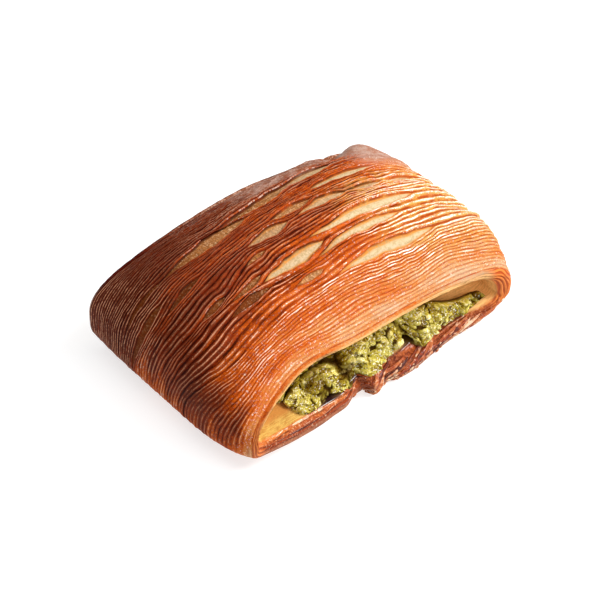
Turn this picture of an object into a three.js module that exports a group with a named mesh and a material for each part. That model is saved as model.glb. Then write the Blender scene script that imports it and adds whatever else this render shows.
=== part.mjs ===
// Savoury danish: a pillow of ridged, laminated dough wrapped round a pesto filling.
// Millimetres, +Z up. X runs along the mouth, the shown mouth faces -Y and the pillow rests on z = 0.
import * as THREE from 'three';
import { LoftGeometry } from 'three/addons/geometries/LoftGeometry.js';

const { abs, cos, exp, max, min, PI, sign, sin } = Math;

// Driving dimensions of the pillow. Left and right are as seen from the shown mouth;
// widest is the height of a side's widest line, which on the left rises towards the back.
const DEPTH = 77.9;                  // front lip to back lip
const CROWN_HEIGHT = 54.4;           // highest line of the top, at mid depth
const CROWN_DROP = { front: 24.6, back: 15.2 };
const CROWN_TILT = 0.033;            // the left shoulder stands higher by this share
const DROP_POWER = 2.2;
const LEFT = { reach: 63.5, frontTaper: 5.8, backTaper: 0.8, widest: 15.6, widestRise: 3.4 };
const RIGHT = { reach: 65, frontTaper: 4.4, backTaper: 8.6, widest: 13.6 };
const RIGHT_SHOULDER = { swell: 1.8, depth: -0.62, spread: 0.3 };
const TAPER_POWER = 4;
const TOP_SQUARENESS = 2.9;          // superellipse powers of the section
const BASE_SQUARENESS = 3.8;
const BASE_FLATTENING = 1.06;        // over 1, so that the underside is cut flat at z = 0
const SHEAR = -0.025;                // lips lean across the depth
const UPPER_LIP_SETBACK = 3.9;
const FRONT_BASE_LIFT = 1;
const LIP_POWER = 6;                 // how near a lip its own shape begins
const BACK_LIP_DIP = { inset: 4.5, middle: 33, spread: 18, power: 4 };
const CORNER_FOLD = { height: 4.4, x: 54, depth: 0.78, spreadX: 7, spreadDepth: 0.18 };

// Ridges run round the section, and slits open between them in rows called seams.
// A place along a ridge is the distance from the crown line, left negative.
const RIDGE_HEIGHT = 0.9;
const SLIT_DEPTH = 1.7;
const SLIT_EDGE_LIFT = 0.5;
const CLOSED_SEAM = 0.3;
const RELIEF_FADE = { gone: -0.92, full: -0.6 };  // sine of the section angle, under the base
const RIDGES_BEHIND_LAST_SEAM = 8;
const SEAMS = [
  { ridgesInFront: 8, slits: [{ at: 19.5, y: -20.7, length: 46, width: 3 }] },
  { ridgesInFront: 1, slits: [{ at: -13.5, y: -17, length: 13, width: 1.6 }] },
  {
    ridgesInFront: 2,
    slits: [
      { at: -36.5, y: -12.4, length: 18, width: 2.4 },
      { at: 13.5, y: -11.8, length: 40, width: 2.9 },
    ],
  },
  { ridgesInFront: 1, slits: [{ at: -14, y: -9.7, length: 28, width: 4.2 }] },
  {
    ridgesInFront: 1,
    slits: [
      { at: -34, y: -8.4, length: 14, width: 2.2 },
      { at: 21, y: -7.4, length: 47, width: 4 },
    ],
  },
  {
    ridgesInFront: 1,
    slits: [
      { at: -47, y: -6, length: 12, width: 2.4 },
      { at: -24, y: -2.3, length: 10, width: 1.6 },
    ],
  },
  {
    ridgesInFront: 2,
    slits: [
      { at: -14.5, y: 2.8, length: 19, width: 5 },
      { at: 10.5, y: 3.3, length: 23, width: 4.3 },
      { at: 29, y: 1.6, length: 18, width: 2.4 },
      { at: 45, y: 1, length: 14, width: 1.8 },
    ],
  },
  {
    ridgesInFront: 1,
    slits: [
      { at: -50, y: 6, length: 18, width: 2.8 },
      { at: -1, y: 6.2, length: 20, width: 3.2 },
    ],
  },
  {
    ridgesInFront: 2,
    slits: [
      { at: -72, y: 8.5, length: 36, width: 6 },
      { at: 27, y: 10.4, length: 36, width: 4.3 },
    ],
  },
  {
    ridgesInFront: 2,
    slits: [
      { at: -62, y: 17.2, length: 28, width: 2.4 },
      { at: -31, y: 16.4, length: 40, width: 5.2 },
    ],
  },
  {
    ridgesInFront: 1,
    slits: [
      { at: -7, y: 17.6, length: 38, width: 4.6 },
      { at: 21.5, y: 20.8, length: 24, width: 3.8 },
    ],
  },
];

// Ridges sweep back as they go down the left side
const SWEEP = { reach: 8, from: -55, full: -92, under: -140, y: -12, frontSpan: 26, backSpan: 45 };

// Mouths at both ends: a wide lens with a thin upper lip and a thick lower one
const LIP = { upper: 3, left: 3, right: 4.5, floor: 9, round: 1.4 };
const MOUTH_TIP = { left: 16, right: 13 };
const MOUTH_SQUARENESS = 3;
const MOUTH_LENGTH = 14;
const TORN_LIP = { recess: 2, tear: -8, blend: 3.5, tongue: 1.6, tongueAt: 17, tongueSpread: 14 };
const TORN_FLAKE = { reach: 1.6, at: -3, halfWidth: 5 };

// Pesto channel through the dough, and the filling in it
const CHANNEL = { halfWidth: 50, middle: 4, floor: 9.2, tip: 12.6, top: 23.5, lean: 0.32 };
const FILLING_GAP = 0.45;
const FILLING_HALF_LENGTH = 38.5;
const FILLING_NOSE = { length: 7, power: 0.45, slump: 0.62, slumpLength: 16 };
const FILLING_TIP_GAPS = 2;          // gaps left free at either pointed side of the channel
const FILLING_LUMP = { depth: 1.6, pitch: 27, middle: -4 };
const FILLING_CRUMB = { firstColumn: 1.9, firstY: 0.7, secondColumn: 0.8, secondY: -0.45 };

// Fineness of the solids
const TOP_COLUMNS = 38;
const BASE_COLUMNS = 11;
const TOP_SPAN = 97;                 // reach of the closely spaced columns to either side of the crown
const FILLING_ROWS = 14;
const NOSE_ROWS = 6;
const FUNNEL_ROWS = 2;
const RIM_ROWS = 2;

const TABLE_STEPS = 1440;
const SLOPE_STEP = 0.01;

const HALF_DEPTH = DEPTH / 2;

function smooth(from, to, value) {
  const t = min(max((value - from) / (to - from), 0), 1);
  return t * t * (3 - 2 * t);
}

function mix(a, b, share) {
  return a + (b - a) * share;
}

function bell(value, middle, spread) {
  return exp(-(((value - middle) / spread) ** 2));
}

function power(value, squareness) {
  return abs(value) ** (2 / squareness);
}

// Bare pillow, with no relief. The angle runs round the section from the right side over the top;
// depth is -1 at the front lip and 1 at the back lip.
function pillow(angle, depth) {
  const front = max(-depth, 0);
  const back = max(depth, 0);
  const left = LEFT.reach - LEFT.frontTaper * front ** TAPER_POWER - LEFT.backTaper * back ** TAPER_POWER;
  const swell = RIGHT_SHOULDER.swell * bell(depth, RIGHT_SHOULDER.depth, RIGHT_SHOULDER.spread);
  const right = RIGHT.reach + swell
    - RIGHT.frontTaper * front ** TAPER_POWER - RIGHT.backTaper * back ** TAPER_POWER;
  const crown = CROWN_HEIGHT - CROWN_DROP.front * front ** DROP_POWER - CROWN_DROP.back * back ** DROP_POWER;
  const across = cos(angle);
  const upward = max(sin(angle), 0);
  const downward = max(-sin(angle), 0);
  const x = mix(-left, right, (across + 1) / 2);
  const widestLeft = LEFT.widest + LEFT.widestRise * depth;
  const widest = mix(widestLeft, RIGHT.widest, (across + 1) / 2);
  const top = crown * (1 - CROWN_TILT * across) - widest;
  const nearFront = front ** LIP_POWER;
  const nearBack = back ** LIP_POWER;
  const lift = FRONT_BASE_LIFT * nearFront * downward;
  const torn = downward * (nearFront * tornLip(x) - nearBack * tornLip(-x));
  const fold = CORNER_FOLD.height * upward
    * bell(x, CORNER_FOLD.x, CORNER_FOLD.spreadX) * bell(depth, CORNER_FOLD.depth, CORNER_FOLD.spreadDepth);
  const base = BASE_FLATTENING * widest * power(downward, BASE_SQUARENESS);
  const z = max(widest + top * power(upward, TOP_SQUARENESS) - base, 0) + lift + fold;
  const setback = UPPER_LIP_SETBACK * upward * (1 - depth) / 2;
  const dip = BACK_LIP_DIP.inset * upward * back ** BACK_LIP_DIP.power
    * bell(x, BACK_LIP_DIP.middle, BACK_LIP_DIP.spread);
  return new THREE.Vector3(x, depth * HALF_DEPTH + setback - dip + torn + SHEAR * x, z);
}

// Outward direction of the bare pillow, from the slopes round and along it
function outward(angle, depth) {
  const inner = min(max(depth, SLOPE_STEP - 1), 1 - SLOPE_STEP);
  const round = pillow(angle + SLOPE_STEP, inner).sub(pillow(angle - SLOPE_STEP, inner));
  const along = pillow(angle, inner + SLOPE_STEP).sub(pillow(angle, inner - SLOPE_STEP));
  return along.cross(round).normalize();
}

// Distances from the crown line round the section at mid depth, each with its angle
function girthTable() {
  const table = [];
  let last = pillow(PI / 2, 0);
  let along = 0;
  for (let i = 0; i <= TABLE_STEPS; i++) {
    const angle = PI / 2 - (2 * PI * i) / TABLE_STEPS;
    const point = pillow(angle, 0);
    along += point.distanceTo(last);
    table.push({ along, angle });
    last = point;
  }
  return table;
}
const GIRTH_TABLE = girthTable();
const GIRTH = GIRTH_TABLE.at(-1).along;

function angleAt(along) {
  const wanted = ((along % GIRTH) + GIRTH) % GIRTH;
  const next = GIRTH_TABLE.findIndex((entry) => entry.along >= wanted);
  if (next <= 0) return GIRTH_TABLE[0].angle;
  const a = GIRTH_TABLE[next - 1];
  const b = GIRTH_TABLE[next];
  return mix(a.angle, b.angle, (wanted - a.along) / (b.along - a.along));
}

// Columns of the solids: close together over the top and sides, wider apart underneath
function columnPlaces() {
  const places = [];
  for (let i = 0; i < TOP_COLUMNS; i++) places.push(mix(-TOP_SPAN, TOP_SPAN, i / TOP_COLUMNS));
  const under = GIRTH - 2 * TOP_SPAN;
  for (let i = 0; i < BASE_COLUMNS; i++) {
    const along = TOP_SPAN + (under * i) / BASE_COLUMNS;
    places.push(along > GIRTH / 2 ? along - GIRTH : along);
  }
  return places;
}
const COLUMNS = columnPlaces().map((along) => ({ along, angle: angleAt(along) }));

// Opening of a seam at a place along it, and the seam's course between its slits
function opening(seam, along) {
  let width = 0;
  for (const slit of seam.slits) {
    const u = (along - slit.at) / (slit.length / 2);
    width = max(width, slit.width * max(1 - u * u, 0));
  }
  return width;
}

function course(seam, along) {
  const { slits } = seam;
  const next = slits.findIndex((slit) => slit.at > along);
  if (next < 0) return slits.at(-1).y;
  if (next === 0) return slits[0].y;
  const a = slits[next - 1];
  const b = slits[next];
  return mix(a.y, b.y, smooth(a.at, b.at, along));
}

function swept(y, along) {
  const span = y < SWEEP.y ? SWEEP.frontSpan : SWEEP.backSpan;
  const share = max(1 - ((y - SWEEP.y) / span) ** 2, 0);
  const onSide = smooth(SWEEP.from, SWEEP.full, along) * smooth(SWEEP.under, SWEEP.full, along);
  return y + SWEEP.reach * share * onSide;
}

// A row of the outer surface: where it runs and how far it stands out of the bare pillow
function sheetRow(courseOf, reliefOf) {
  return COLUMNS.map(({ along, angle }) => {
    const depth = swept(courseOf(along), along) / HALF_DEPTH;
    const shown = smooth(RELIEF_FADE.gone, RELIEF_FADE.full, sin(angle));
    const point = pillow(angle, depth).addScaledVector(outward(angle, depth), shown * reliefOf(along));
    point.z = max(point.z, 0);
    return point;
  });
}

function sheetRows() {
  const rows = [];
  const frontEdge = () => -HALF_DEPTH;
  const backEdge = () => HALF_DEPTH;
  const openness = (seam, along) => (seam ? opening(seam, along) / (opening(seam, along) + 1) : 0);
  const slitRelief = (seam) => (along) => -RIDGE_HEIGHT / 2 - SLIT_DEPTH * openness(seam, along);
  let before = { edge: frontEdge, seam: null };
  rows.push(sheetRow(frontEdge, () => 0));
  const strips = [...SEAMS, { ridgesInFront: RIDGES_BEHIND_LAST_SEAM, slits: null }];
  for (const strip of strips) {
    const seam = strip.slits ? strip : null;
    const halfGap = (along) => max(opening(seam, along), CLOSED_SEAM) / 2;
    const startEdge = before.edge;
    const endEdge = seam ? (along) => course(seam, along) - halfGap(along) : backEdge;
    const count = strip.ridgesInFront;
    for (let i = 0; i < count; i++) {
      const first = i === 0 ? before.seam : null;
      const last = i === count - 1 ? seam : null;
      const lift = (along) => SLIT_EDGE_LIFT * max(openness(first, along), openness(last, along));
      const crest = (along) => mix(startEdge(along), endEdge(along), (i + 0.5) / count);
      rows.push(sheetRow(crest, (along) => RIDGE_HEIGHT / 2 + lift(along)));
      const groove = (along) => mix(startEdge(along), endEdge(along), (i + 1) / count);
      if (i < count - 1) rows.push(sheetRow(groove, () => -RIDGE_HEIGHT / 2));
    }
    if (seam) {
      const farEdge = (along) => course(seam, along) + halfGap(along);
      rows.push(sheetRow(endEdge, slitRelief(seam)));
      rows.push(sheetRow(farEdge, slitRelief(seam)));
      before = { edge: farEdge, seam };
    }
  }
  rows.push(sheetRow(backEdge, () => 0));
  return rows;
}

// Inner edge of a lip: the pillow's own end, drawn in by the wall
function mouthEdge(angle, end) {
  const outer = pillow(angle, end);
  const left = pillow(PI, end).x + LIP.left;
  const right = pillow(0, end).x - LIP.right;
  const share = (cos(angle) + 1) / 2;
  const tip = mix(MOUTH_TIP.left, MOUTH_TIP.right, share);
  const crown = pillow(PI / 2, end).z * (1 - CROWN_TILT * cos(angle)) - LIP.upper;
  const up = (crown - tip) * power(max(sin(angle), 0), TOP_SQUARENESS);
  const down = (tip - LIP.floor) * power(max(-sin(angle), 0), MOUTH_SQUARENESS);
  return new THREE.Vector3(mix(left, right, share), outer.y, tip + up - down);
}

// Lens-shaped section of the channel, drawn in all round by an inset
function channelEdge(angle, inset = 0) {
  const across = cos(angle);
  const top = CHANNEL.top * (1 - CHANNEL.lean * across) - inset;
  const up = (top - CHANNEL.tip) * power(max(sin(angle), 0), TOP_SQUARENESS);
  const down = (CHANNEL.tip - CHANNEL.floor - inset) * power(max(-sin(angle), 0), MOUTH_SQUARENESS);
  const x = CHANNEL.middle + (CHANNEL.halfWidth - FILLING_TIP_GAPS * inset) * across;
  return new THREE.Vector3(x, 0, CHANNEL.tip + up - down);
}

// The lower lip is torn: set back left of the tear, a tongue right of it, a pointed flake between
function tornLip(x) {
  const recess = TORN_LIP.recess * smooth(TORN_LIP.tear + TORN_LIP.blend, TORN_LIP.tear - TORN_LIP.blend, x);
  const tongue = TORN_LIP.tongue * bell(x, TORN_LIP.tongueAt, TORN_LIP.tongueSpread);
  const flake = TORN_FLAKE.reach * max(1 - abs(x - TORN_FLAKE.at) / TORN_FLAKE.halfWidth, 0);
  return recess - tongue - flake;
}

// Rows from an outer lip edge round the rim and down the funnel to the channel
function mouthRows(end) {
  const rows = [];
  for (let i = 1; i <= RIM_ROWS + 1; i++) {
    const share = i / (RIM_ROWS + 1);
    const bulge = LIP.round * sin(PI * share);
    rows.push(COLUMNS.map(({ angle }) => {
      const point = pillow(angle, end).lerp(mouthEdge(angle, end), share);
      point.y += end * bulge;
      return point;
    }));
  }
  for (let i = 1; i <= FUNNEL_ROWS + 1; i++) {
    const share = i / (FUNNEL_ROWS + 1);
    rows.push(COLUMNS.map(({ angle }) => {
      const lip = mouthEdge(angle, end);
      const point = lip.clone().lerp(channelEdge(angle), smooth(0, 1, share));
      point.y = mix(lip.y, end * (HALF_DEPTH - MOUTH_LENGTH), share);
      return point;
    }));
  }
  return rows;
}

function doughGeometry() {
  const rows = [...sheetRows(), ...mouthRows(1), ...mouthRows(-1).reverse()];
  rows.push(rows[0]);
  return new LoftGeometry(rows);
}

// Places along the filling and how full its section is there: a blunt nose, a straight run, a nose
function fillingStations() {
  const nose = [];
  for (let i = 1; i <= NOSE_ROWS; i++) {
    const turn = (PI / 2) * (i / NOSE_ROWS);
    const y = FILLING_HALF_LENGTH - FILLING_NOSE.length * (1 - cos(turn));
    nose.push({ y, girth: sin(turn) ** FILLING_NOSE.power });
  }
  const straight = FILLING_HALF_LENGTH - FILLING_NOSE.length;
  const run = [];
  for (let i = 1; i < FILLING_ROWS; i++) {
    run.push({ y: mix(-straight, straight, i / FILLING_ROWS), girth: 1 });
  }
  const frontNose = nose.map(({ y, girth }) => ({ y: -y, girth }));
  return [...frontNose, ...run, ...nose.reverse()];
}

// Pesto: the channel's form less a small gap, in lumps, slumped forward in both mouths
function fillingGeometry() {
  const middle = new THREE.Vector3(CHANNEL.middle, 0, CHANNEL.tip);
  const rows = fillingStations().map(({ y, girth }) => COLUMNS.map(({ angle }, column) => {
    const lumps = cos((2 * PI * (CHANNEL.halfWidth * cos(angle) - FILLING_LUMP.middle)) / FILLING_LUMP.pitch);
    const crumbs = sin(column * FILLING_CRUMB.firstColumn + y * FILLING_CRUMB.firstY)
      + sin(column * FILLING_CRUMB.secondColumn + y * FILLING_CRUMB.secondY);
    const hollow = 0.5 - lumps / 4 - crumbs / 8;
    const inset = FILLING_GAP + FILLING_LUMP.depth * hollow;
    const point = middle.clone().lerp(channelEdge(angle, inset), girth);
    const fromTip = FILLING_HALF_LENGTH - abs(y);
    const slumped = FILLING_NOSE.slump * (1 - smooth(0, FILLING_NOSE.slumpLength, fromTip));
    point.y = y - sign(y) * slumped * (point.z - CHANNEL.floor);
    return point;
  }));
  return new LoftGeometry(rows, { capStart: true, capEnd: true });
}

function piece(name, geometry, color, roughness) {
  const mesh = new THREE.Mesh(geometry, new THREE.MeshStandardMaterial({ color, roughness, metalness: 0 }));
  mesh.name = name;
  return mesh;
}

const pastry = new THREE.Group();
pastry.add(piece('dough', doughGeometry(), 0xb5622c, 0.45));
pastry.add(piece('pesto_filling', fillingGeometry(), 0x6f7a22, 0.5));

// Origin under the middle of the whole pastry's box
const box = new THREE.Box3().setFromObject(pastry);
const centre = box.getCenter(new THREE.Vector3());
pastry.position.set(-centre.x, -centre.y, -box.min.z);

export default pastry;
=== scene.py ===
import math

import bmesh
import bpy
import numpy as np
from mathutils import Matrix, Vector


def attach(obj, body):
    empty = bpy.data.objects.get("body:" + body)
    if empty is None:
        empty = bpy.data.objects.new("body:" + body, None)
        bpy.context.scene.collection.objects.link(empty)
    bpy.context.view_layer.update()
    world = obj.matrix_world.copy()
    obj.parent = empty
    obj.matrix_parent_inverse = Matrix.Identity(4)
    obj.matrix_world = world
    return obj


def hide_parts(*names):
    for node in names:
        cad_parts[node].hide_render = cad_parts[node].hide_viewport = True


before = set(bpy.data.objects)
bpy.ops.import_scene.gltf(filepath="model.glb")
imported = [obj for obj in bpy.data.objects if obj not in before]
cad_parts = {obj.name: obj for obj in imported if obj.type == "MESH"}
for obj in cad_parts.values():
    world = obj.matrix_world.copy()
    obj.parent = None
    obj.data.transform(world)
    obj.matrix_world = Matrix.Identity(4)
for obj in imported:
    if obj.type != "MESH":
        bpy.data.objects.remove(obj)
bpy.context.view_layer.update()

# Dough
# A sheet of laminated dough, cut across its layers so that they stand as ridges, is wrapped round the
# filling, slit, washed with egg and baked. It swells into a pillow, and its slits open on paler dough.
# Sizes are millimetres from the middle of the pillow; left and right are as seen from the shown mouth.
MM = 0.001
PILLOW_SHIFT = np.array([-1.220, -0.017, 0.0])

# The bare pillow. A pair in brackets is where something starts and where it is full; a three is a
# hump's height, middle and spread. The last hump of the lip's hollows is a tongue that stands out.
HALF_DEPTH = 38.95
CROWN_HEIGHT, CROWN_TILT = 54.4, 0.033
CROWN_DROP_FRONT, CROWN_DROP_BACK, DROP_POWER = 24.6, 15.2, 2.2
LEFT_REACH, LEFT_FRONT_TAPER, LEFT_BACK_TAPER = 63.5, 5.8, 0.8
RIGHT_REACH, RIGHT_FRONT_TAPER, RIGHT_BACK_TAPER = 65.0, 4.4, 8.6
TAPER_POWER = 4
LEFT_WIDEST, LEFT_WIDEST_RISE, RIGHT_WIDEST = 15.6, 3.4, 13.6
SHOULDER_SWELL, SHOULDER_DEPTH, SHOULDER_SPREAD = 2.5, -0.62, 0.3
TOP_SQUARENESS, BASE_SQUARENESS, BASE_FLATTENING = 2.9, 3.8, 1.06
SHEAR = -0.025
UPPER_LIP_SETBACK = 3.9
FRONT_BASE_LIFT, CORNER_LIFT, CORNER_AT, CORNER_SPREAD = 1.0, 2.6, 54.0, 10.0
LIP_POWER = 6
DIP_INSET, DIP_MIDDLE, DIP_SPREAD, DIP_POWER = 3.4, 33.0, 17.0, 4
BACK_INSET, BACK_INSET_LEFT, BACK_INSET_RIGHT = 1.9, (-75.0, -35.0), (45.0, 15.0)
FOLD_HEIGHT, FOLD_X, FOLD_DEPTH, FOLD_SPREAD_X, FOLD_SPREAD_DEPTH = 4.4, 54.0, 0.78, 7.0, 0.18
CREASE, CREASE_X, CREASE_SLANT, CREASE_SPREAD = 8.5, 36.0, 10.0, 5.5
CREASE_STARTS, CREASE_SLANTS = (0.5, 1.0), (0.6, 1.0)
LIP_RECESS, TEAR, NOTCH, NOTCH_SPAN = 1.6, (-3.2, -5.0), 2.4, (-16.0, -8.5)
LIP_HOLLOWS = ((1.2, 4.0, 3.2), (1.1, 33.0, 10.0), (-0.9, 13.5, 8.0))
SLOPE_STEP = 0.01
SWELL_COUNT, SHORTEST_SWELL, LONGEST_SWELL = 7, 0.6, 1.7


def smooth(start, full, value):
    t = np.clip((value - start) / (full - start), 0, 1)
    return t * t * (3 - 2 * t)


def mix(a, b, share):
    return a + (b - a) * share


def bell(value, middle, spread):
    return np.exp(-((value - middle) / spread) ** 2)


def humps(value, table):
    """Sum of humps, each given as its height, middle and spread."""
    return sum(height * bell(value, middle, spread) for height, middle, spread in table)


def unit(vectors):
    return vectors / np.linalg.norm(vectors, axis=-1, keepdims=True)


def ripple(u, v, seed):
    """Smooth seeded unevenness, about -1 to 1, with one swell to each unit of u and of v."""
    draw = np.random.default_rng(seed)
    low, high = (0, SHORTEST_SWELL, 0), (2 * math.pi, LONGEST_SWELL, 2 * math.pi)
    total = 0
    for heading, length, phase in draw.uniform(low, high, (SWELL_COUNT, 3)):
        total = total + np.sin(2 * math.pi * (u * math.cos(heading) + v * math.sin(heading)) / length + phase)
    return total / math.sqrt(SWELL_COUNT)


def torn_lip(x):
    """How far the torn lower lip stands back along the mouth."""
    recess = (LIP_RECESS + NOTCH * smooth(*NOTCH_SPAN, x)) * smooth(*TEAR, x)
    return recess + humps(x, LIP_HOLLOWS)


def pillow(angle, depth):
    """Bare pillow: angle runs round the section from the right side over the top, depth from -1 to 1."""
    front, back = np.maximum(-depth, 0), np.maximum(depth, 0)
    front_taper, back_taper = front**TAPER_POWER, back**TAPER_POWER
    left = LEFT_REACH - LEFT_FRONT_TAPER * front_taper - LEFT_BACK_TAPER * back_taper
    swell = SHOULDER_SWELL * bell(depth, SHOULDER_DEPTH, SHOULDER_SPREAD)
    right = RIGHT_REACH + swell - RIGHT_FRONT_TAPER * front_taper - RIGHT_BACK_TAPER * back_taper
    crown = CROWN_HEIGHT - CROWN_DROP_FRONT * front**DROP_POWER - CROWN_DROP_BACK * back**DROP_POWER
    across, upward, downward = np.cos(angle), np.maximum(np.sin(angle), 0), np.maximum(-np.sin(angle), 0)
    to_right = (across + 1) / 2
    x = mix(-left, right, to_right)
    widest = mix(LEFT_WIDEST + LEFT_WIDEST_RISE * depth, RIGHT_WIDEST, to_right)
    top = (crown * (1 - CROWN_TILT * across) - widest) * upward ** (2 / TOP_SQUARENESS)
    base = BASE_FLATTENING * widest * downward ** (2 / BASE_SQUARENESS)
    near_front, near_back = front**LIP_POWER, back**LIP_POWER
    lift = FRONT_BASE_LIFT + CORNER_LIFT * bell(np.abs(x), CORNER_AT, CORNER_SPREAD)
    fold = FOLD_HEIGHT * bell(x, FOLD_X, FOLD_SPREAD_X) * bell(depth, FOLD_DEPTH, FOLD_SPREAD_DEPTH)
    crease_x = CREASE_X + CREASE_SLANT * smooth(*CREASE_SLANTS, depth)
    crease = CREASE * bell(x, crease_x, CREASE_SPREAD) * smooth(*CREASE_STARTS, depth)
    z = np.maximum(widest + top - base, 0) + lift * near_front * downward + upward * (fold - crease)
    setback = UPPER_LIP_SETBACK * upward * (1 - depth) / 2
    inset = DIP_INSET * bell(x, DIP_MIDDLE, DIP_SPREAD)
    inset = inset + BACK_INSET * smooth(*BACK_INSET_LEFT, x) * smooth(*BACK_INSET_RIGHT, x)
    dip = inset * upward * back**DIP_POWER
    torn = downward * (near_front * torn_lip(x) - near_back * torn_lip(-x))
    return np.stack([x, depth * HALF_DEPTH + setback - dip + torn + SHEAR * x, z], axis=-1)


def outward(angle, depth):
    inner = np.clip(depth, SLOPE_STEP - 1, 1 - SLOPE_STEP)
    round_step = pillow(angle + SLOPE_STEP, inner) - pillow(angle - SLOPE_STEP, inner)
    depth_step = pillow(angle, inner + SLOPE_STEP) - pillow(angle, inner - SLOPE_STEP)
    return unit(np.cross(depth_step, round_step))


# Places round the section are distances from the crown line at mid depth, left negative
GIRTH_STEPS = 1440
TOP_SPAN, TOP_PITCH, UNDER_COLUMNS, UNDER_CROWDING = 97.0, 0.95, 72, 0.55
girth_angle = np.linspace(math.pi / 2, -1.5 * math.pi, GIRTH_STEPS + 1)
girth_steps = np.diff(pillow(girth_angle, np.zeros_like(girth_angle)), axis=0)
girth_along = np.concatenate([[0], np.cumsum(np.linalg.norm(girth_steps, axis=1))])
girth = girth_along[-1]
over_top = np.arange(-TOP_SPAN, TOP_SPAN, TOP_PITCH)
share_under = np.linspace(0, 1, UNDER_COLUMNS, endpoint=False)
share_under = share_under + UNDER_CROWDING * np.sin(2 * math.pi * share_under) / (2 * math.pi)
underneath = mix(TOP_SPAN, girth - TOP_SPAN, share_under)
along = np.concatenate([over_top, np.where(underneath > girth / 2, underneath - girth, underneath)])
angle = np.interp(along % girth, girth_along, girth_angle)
rising = np.sin(angle)  # 1 on the crown line, -1 under the base
underside = np.maximum(-rising, 0)
flat = np.zeros_like(along)

# The sheet's front edge is cut back over the left of the mouth
LIP_SCOOP, SCOOP_AT, SCOOP_SPREAD, SCOOP_BAND, SCOOP_RISING = 2.3, -31.0, 17.0, 18.0, (0.1, 0.6)
front_edge_x = pillow(angle, flat - 1)[:, 0]
scoop = LIP_SCOOP * bell(front_edge_x, SCOOP_AT, SCOOP_SPREAD) * smooth(*SCOOP_RISING, rising)

# Seams from front to back: ridges in front of each, then its slits as place, depth place, length, width and
# browning of the floor, partly painted shade. A slit of no width only leads the seam past the slits beside
# it.
SEAMS = [
    (17, [(16, -23.6, 46, 3, 0.0)]),
    (2, [(-14.5, -19.6, 13, 1.6, 0.45)]),
    (3, [(-36.5, -14.3, 18, 2.4, 0.9), (-13.5, -16.3, 1, 0, 0.5), (11, -14.7, 40, 2.6, 0.1)]),
    (1, [(-15, -12.2, 28, 4.2, 0.2)]),
    (1, [(-34, -10, 14, 2.2, 0.75), (-13, -8.1, 1, 0, 0.3), (18.5, -8.8, 50, 3.8, 0.0)]),
    (3, [(-47, -7, 12, 2.4, 0.85), (-24, -3.5, 10, 1.6, 0.6)]),
    (4, [(-14.5, 2.2, 19, 4.6, 0.4), (10, 3, 22, 4.0, 0.32), (28, 0.7, 18, 2.2, 0.35),
         (45, 0, 14, 1.8, 0.3)]),
    (3, [(-50, 6, 18, 2.4, 0.95), (-16, 6.3, 1, 0, 0.6), (-1, 6.3, 20, 3.2, 0.5)]),
    (3, [(-75, 10.6, 38, 2.6, 1.0), (24.5, 10.7, 36, 4.1, 0.2)]),
    (5, [(-62, 17.6, 26, 1.8, 1.0), (-31, 16.4, 40, 5.2, 0.55), (-4, 13.4, 1, 0, 0.5),
         (25, 16.2, 1, 0, 0.3)]),
    (2, [(-46, 21.4, 1, 0, 0.8), (-7, 17.6, 36, 4.6, 0.6), (18, 20.6, 25, 5.0, 0.3)]),
]
RIDGES_BEHIND_LAST_SEAM = 15
FIRST_SEAM_Y, LAST_SEAM_Y = -18.0, 19.0
LEFT_SIDE, RIGHT_SIDE = (-52.0, -88.0), (48.0, 84.0)
SEAM_WANDER, SEAM_WANDER_LENGTH = 0.1, 10.0
SLIT_DEPTH, SLIT_EDGE_LIFT, SLIT_SWELL, SLIT_WIDENING, SLIT_BLUNTNESS = 0.95, 0.12, 1.0, 1.15, 0.5
SLIT_RAGGEDNESS, RAG_LENGTH, CLOSED_SEAM, HALF_OPEN = 0.09, 6.0, 0.3, 1.6
FLOOR_PROFILE, FLOOR_RIDGE, FLOOR_SHOWS = ((0, 0.45), (0.2, 1.0), (0.6, 0.85), (1, 0.2)), 0.3, (0.05, 0.6)
SWEEP_REACH, SWEEP_LEFT, SWEEP_UNDER = 8.0, (-55.0, -92.0), (-140.0, -92.0)
SWEEP_Y, SWEEP_FRONT_SPAN, SWEEP_BACK_SPAN = -12.0, 26.0, 45.0
WANDER, WANDER_ALONG, WANDER_ACROSS = 0.35, 48.0, 14.0
WRIGGLE, WRIGGLE_ALONG, WRIGGLE_ACROSS, STRAIGHT_EDGE = 0.09, 8.0, 2.2, 6.0
# The bare fold at the back right, where no ridges show, and the low valleys that run in from the right side
BARE_ALONG, BARE_Y, BARE_ENDS, BARE_CALM, BARE_RIDGE = (35.0, 49.0), (7.0, 16.0), (92.0, 66.0), 0.8, 0.8
VALLEYS, VALLEY_SPAN = [(1.3, y, 1.9) for y in (-17, -1.5, 6, 11, 18.5)], (36.0, 62.0)
RELIEF_SHOWS = (-0.92, -0.6)
SIDE_CALM, SIDE_CALM_ALONG = 0.66, (-25.0, -70.0)


def opening(slits):
    width = flat
    for at, y, length, widest, _ in slits:
        t = np.clip((along - at) / (length / 2), -1, 1)
        lens = (1 - t**2) * (1 + SLIT_BLUNTNESS * t)
        ragged = 1 + SLIT_RAGGEDNESS * ripple(along / RAG_LENGTH, y, seed=12)
        width = np.maximum(width, SLIT_WIDENING * widest * lens * ragged)
    return width


def browning_and_shade_along(slits):
    places = [slit[0] for slit in slits]
    return np.interp(along, places, [slit[4] for slit in slits])


def course(slits, closed_y):
    """The line of a seam through its slits; down the sides the seams are evenly spaced."""
    line = np.full_like(along, slits[0][1])
    for (at, y, *_), (next_at, next_y, *_) in zip(slits, slits[1:]):
        line = np.where(along > at, mix(y, next_y, smooth(at, next_at, along)), line)
    at_sides = smooth(*LEFT_SIDE, along) + smooth(*RIGHT_SIDE, along)
    wander = SEAM_WANDER * ripple(along / SEAM_WANDER_LENGTH, slits[0][1], seed=14)
    return mix(line, closed_y, at_sides) + wander


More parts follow.
